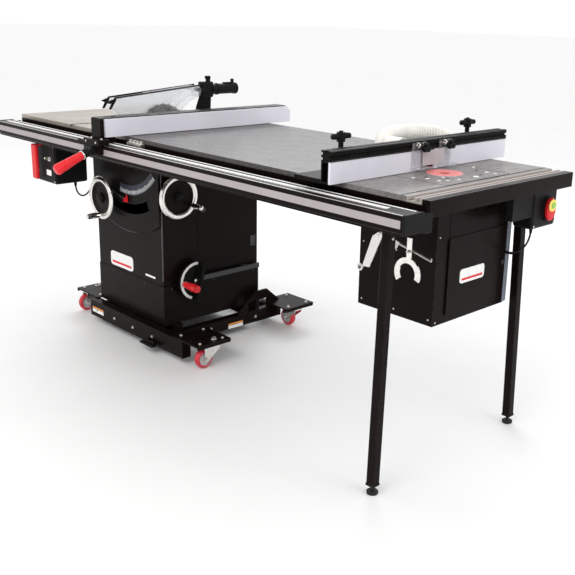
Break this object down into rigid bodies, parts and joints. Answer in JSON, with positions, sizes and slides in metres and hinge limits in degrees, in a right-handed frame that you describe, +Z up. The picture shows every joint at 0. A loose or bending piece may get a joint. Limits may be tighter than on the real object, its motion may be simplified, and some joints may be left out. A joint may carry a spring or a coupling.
{
  "type": "table saw",
  "caption": "Cabinet table saw with a long rip-fence rail, extension table, router wing on two legs, router fence, and a mobile base on swivel casters.",
  "frame": {"origin": "on the floor under the middle of the saw", "axes": "+X along the front rail towards the router wing, +Y from the operator to the back, +Z up"},
  "size_m": [2.222, 1.1041, 1.055],
  "materials": {
    "cabinet_paint": "gloss black paint",
    "cast_iron": "ground and polished",
    "laminate": "fine mottled grey laminate",
    "aluminium": "brushed",
    "black_plastic": "fine moulded grain",
    "red_plastic": "moulded red",
    "steel": "brushed",
    "chrome": "polished",
    "face_board": "smooth pale board",
    "clear_plastic": "clear polycarbonate",
    "rubber": "matt black",
    "hose_plastic": "ribbed white hose",
    "motor_paint": "satin dark grey",
    "wheel_tread": "red polyurethane"
  },
  "bodies": {
    "frame": {"cabinet_shell": "cabinet_paint", "base_frame": "cabinet_paint", "main_table": "cast_iron", "left_wing": "cast_iron", "throat_plate": "aluminium", "extension_table": "laminate", "router_top": "laminate", "combo_track": "aluminium", "end_rail": "cabinet_paint", "front_rail": "cabinet_paint", "rear_rail": "cabinet_paint", "leg_front": "cabinet_paint", "leg_rear": "cabinet_paint", "router_box": "cabinet_paint", "left_switch_box": "black_plastic", "right_switch_box": "black_plastic", "switch_lead": "rubber", "router_lead": "rubber", "dust_hose": "hose_plastic", "mitre_bar": "motor_paint", "tool_bracket": "steel"},
    "tilting_cradle": {"trunnion": "motor_paint"},
    "arbor_carriage": {"arbor_carriage": "motor_paint", "motor": "motor_paint", "drive_belt": "rubber", "guard_spreader": "black_plastic"},
    "guard": {"guard_shell": "clear_plastic"},
    "arbor": {"arbor": "steel", "saw_blade": "steel"},
    "motor_rotor": {"motor_pulley": "steel"},
    "elevation_wheel": {"elevation_wheel": "chrome"},
    "elevation_handle": {"elevation_handle": "chrome"},
    "tilt_wheel": {"tilt_wheel": "chrome"},
    "tilt_handle": {"tilt_handle": "chrome"},
    "rip_fence": {"fence_beam": "cabinet_paint", "fence_face": "face_board"},
    "fence_lever": {"fence_lever": "red_plastic"},
    "power_paddle": {"power_paddle": "red_plastic"},
    "router_paddle": {"router_paddle": "red_plastic"},
    "foot_pedal": {"foot_pedal": "cabinet_paint"},
    "foot_front": {"foot_front": "rubber"},
    "foot_rear": {"foot_rear": "rubber"},
    "router_motor": {"router_motor": "motor_paint"},
    "router_collet": {"router_collet": "steel"},
    "box_door": {"box_door": "cabinet_paint"},
    "router_fence": {"router_fence": "black_plastic"},
    "router_face_front": {"router_face_front": "face_board"},
    "router_face_rear": {"router_face_rear": "face_board"},
    "fence_knob_front": {"fence_knob_front": "black_plastic"},
    "fence_knob_rear": {"fence_knob_rear": "black_plastic"},
    "mitre_head": {"mitre_head": "black_plastic"},
    "hanging_spanner": {"hanging_spanner": "chrome"},
    "caster_fork_front_left": {"caster_fork_front_left": "chrome"},
    "caster_wheel_front_left": {"caster_wheel_front_left": "wheel_tread"},
    "caster_fork_front_right": {"caster_fork_front_right": "chrome"},
    "caster_wheel_front_right": {"caster_wheel_front_right": "wheel_tread"},
    "caster_fork_rear_left": {"caster_fork_rear_left": "chrome"},
    "caster_wheel_rear_left": {"caster_wheel_rear_left": "wheel_tread"},
    "caster_fork_rear_right": {"caster_fork_rear_right": "chrome"},
    "caster_wheel_rear_right": {"caster_wheel_rear_right": "wheel_tread"}
  },
  "joints": [
    {"name": "tilt", "type": "hinge", "parent": "frame", "child": "tilting_cradle", "pos_m": [-0.551, 0.1318, 0.876], "axis": [0, -1, 0], "range_deg": [0, 45]},
    {"name": "elevation", "type": "slide", "parent": "tilting_cradle", "child": "arbor_carriage", "axis": [0, 0, 1], "range_m": [-0.085, 0]},
    {"name": "blade_spin", "type": "hinge", "parent": "arbor_carriage", "child": "arbor", "pos_m": [-0.551, 0.0618, 0.828], "axis": [1, 0, 0], "continuous": true},
    {"name": "motor_spin", "type": "hinge", "parent": "arbor_carriage", "child": "motor_rotor", "pos_m": [-0.623, 0.2318, 0.676], "axis": [1, 0, 0], "continuous": true},
    {"name": "guard_lift", "type": "hinge", "parent": "arbor_carriage", "child": "guard", "pos_m": [-0.551, 0.2468, 1], "axis": [-1, 0, 0], "range_deg": [0, 34]},
    {"name": "elevation_wheel_turn", "type": "hinge", "parent": "tilting_cradle", "child": "elevation_wheel", "pos_m": [-0.681, -0.1582, 0.572], "axis": [0, -1, 0], "range_deg": [-1085, 5]},
    {"name": "elevation_handle_spin", "type": "hinge", "parent": "elevation_wheel", "child": "elevation_handle", "pos_m": [-0.6789, -0.1672, 0.50203], "axis": [0, -1, 0], "continuous": true},
    {"name": "tilt_wheel_turn", "type": "hinge", "parent": "frame", "child": "tilt_wheel", "pos_m": [-0.311, -0.0362, 0.62], "axis": [1, 0, 0], "range_deg": [-5, 1085]},
    {"name": "tilt_handle_spin", "type": "hinge", "parent": "tilt_wheel", "child": "tilt_handle", "pos_m": [-0.302, 0.02128, 0.58005], "axis": [1, 0, 0], "continuous": true},
    {"name": "fence_slide", "type": "slide", "parent": "frame", "child": "rip_fence", "axis": [1, 0, 0], "range_m": [-0.12, 0.76]},
    {"name": "fence_lever_turn", "type": "hinge", "parent": "rip_fence", "child": "fence_lever", "pos_m": [-0.301, -0.4147, 0.836], "axis": [-1, 0, 0], "range_deg": [0, 75]},
    {"name": "power_paddle_push", "type": "hinge", "parent": "frame", "child": "power_paddle", "pos_m": [-0.847, -0.3312, 0.785], "axis": [-1, 0, 0], "range_deg": [0, 12]},
    {"name": "router_paddle_push", "type": "slide", "parent": "frame", "child": "router_paddle", "axis": [-1, 0, 0], "range_m": [0, 0.0045]},
    {"name": "pedal_press", "type": "hinge", "parent": "frame", "child": "foot_pedal", "pos_m": [-0.3535, -0.1597, 0.04], "axis": [1, 0, 0], "range_deg": [0, 20]},
    {"name": "foot_front_screw", "type": "slide", "parent": "frame", "child": "foot_front", "axis": [0, 0, 1], "range_m": [-0.012, 0.012]},
    {"name": "foot_rear_screw", "type": "slide", "parent": "frame", "child": "foot_rear", "axis": [0, 0, 1], "range_m": [-0.012, 0.012]},
    {"name": "router_lift", "type": "slide", "parent": "frame", "child": "router_motor", "axis": [0, 0, 1], "range_m": [-0.05, 0]},
    {"name": "collet_spin", "type": "hinge", "parent": "router_motor", "child": "router_collet", "pos_m": [0.874, 0.0818, 0.8], "axis": [0, 0, 1], "continuous": true},
    {"name": "box_door_swing", "type": "hinge", "parent": "frame", "child": "box_door", "pos_m": [0.9425, 0.0408, 0.575], "axis": [0, 0, -1], "range_deg": [0, 95]},
    {"name": "router_fence_slide", "type": "slide", "parent": "frame", "child": "router_fence", "axis": [1, 0, 0], "range_m": [-0.02, 0.02]},
    {"name": "router_face_front_slide", "type": "slide", "parent": "router_fence", "child": "router_face_front", "axis": [0, 1, 0], "range_m": [-0.03, 0.02]},
    {"name": "router_face_rear_slide", "type": "slide", "parent": "router_fence", "child": "router_face_rear", "axis": [0, 1, 0], "range_m": [-0.02, 0.03]},
    {"name": "fence_knob_front_turn", "type": "hinge", "parent": "router_fence", "child": "fence_knob_front", "pos_m": [0.724, -0.2062, 0.95], "axis": [0, 0, 1], "range_deg": [-180, 180]},
    {"name": "fence_knob_rear_turn", "type": "hinge", "parent": "router_fence", "child": "fence_knob_rear", "pos_m": [0.724, 0.3838, 0.95], "axis": [0, 0, 1], "range_deg": [-180, 180]},
    {"name": "mitre_head_turn", "type": "hinge", "parent": "frame", "child": "mitre_head", "pos_m": [-0.3023, 0.0318, 0.272], "axis": [1, 0, 0], "range_deg": [-30, 30]},
    {"name": "spanner_swing", "type": "hinge", "parent": "frame", "child": "hanging_spanner", "pos_m": [0.962, -0.1682, 0.69783], "axis": [0, 1, 0], "range_deg": [-25, 25]},
    {"name": "swivel_front_left", "type": "hinge", "parent": "frame", "child": "caster_fork_front_left", "pos_m": [-0.961, -0.0502, 0.09], "axis": [0, 0, 1], "continuous": true},
    {"name": "roll_front_left", "type": "hinge", "parent": "caster_fork_front_left", "child": "caster_wheel_front_left", "pos_m": [-0.961, -0.0932, 0.038], "axis": [1, 0, 0], "continuous": true},
    {"name": "swivel_front_right", "type": "hinge", "parent": "frame", "child": "caster_fork_front_right", "pos_m": [-0.081, -0.0552, 0.09], "axis": [0, 0, 1], "continuous": true},
    {"name": "roll_front_right", "type": "hinge", "parent": "caster_fork_front_right", "child": "caster_wheel_front_right", "pos_m": [-0.081, -0.0982, 0.038], "axis": [1, 0, 0], "continuous": true},
    {"name": "swivel_rear_left", "type": "hinge", "parent": "frame", "child": "caster_fork_rear_left", "pos_m": [-0.961, 0.4698, 0.09], "axis": [0, 0, 1], "continuous": true},
    {"name": "roll_rear_left", "type": "hinge", "parent": "caster_fork_rear_left", "child": "caster_wheel_rear_left", "pos_m": [-0.961, 0.4268, 0.038], "axis": [1, 0, 0], "continuous": true},
    {"name": "swivel_rear_right", "type": "hinge", "parent": "frame", "child": "caster_fork_rear_right", "pos_m": [-0.183, 0.4698, 0.09], "axis": [0, 0, 1], "continuous": true},
    {"name": "roll_rear_right", "type": "hinge", "parent": "caster_fork_rear_right", "child": "caster_wheel_rear_right", "pos_m": [-0.226, 0.4698, 0.038], "axis": [0, -1, 0], "continuous": true}
  ],
  "couplings": [
    {"joint": "motor_spin", "follows": "blade_spin", "ratio": 0.76667},
    {"joint": "guard_lift", "follows": "elevation", "rad_per_m": -6.5706},
    {"joint": "elevation_wheel_turn", "follows": "elevation", "rad_per_m": 221.76},
    {"joint": "tilt_wheel_turn", "follows": "tilt", "ratio": 24}
  ]
}
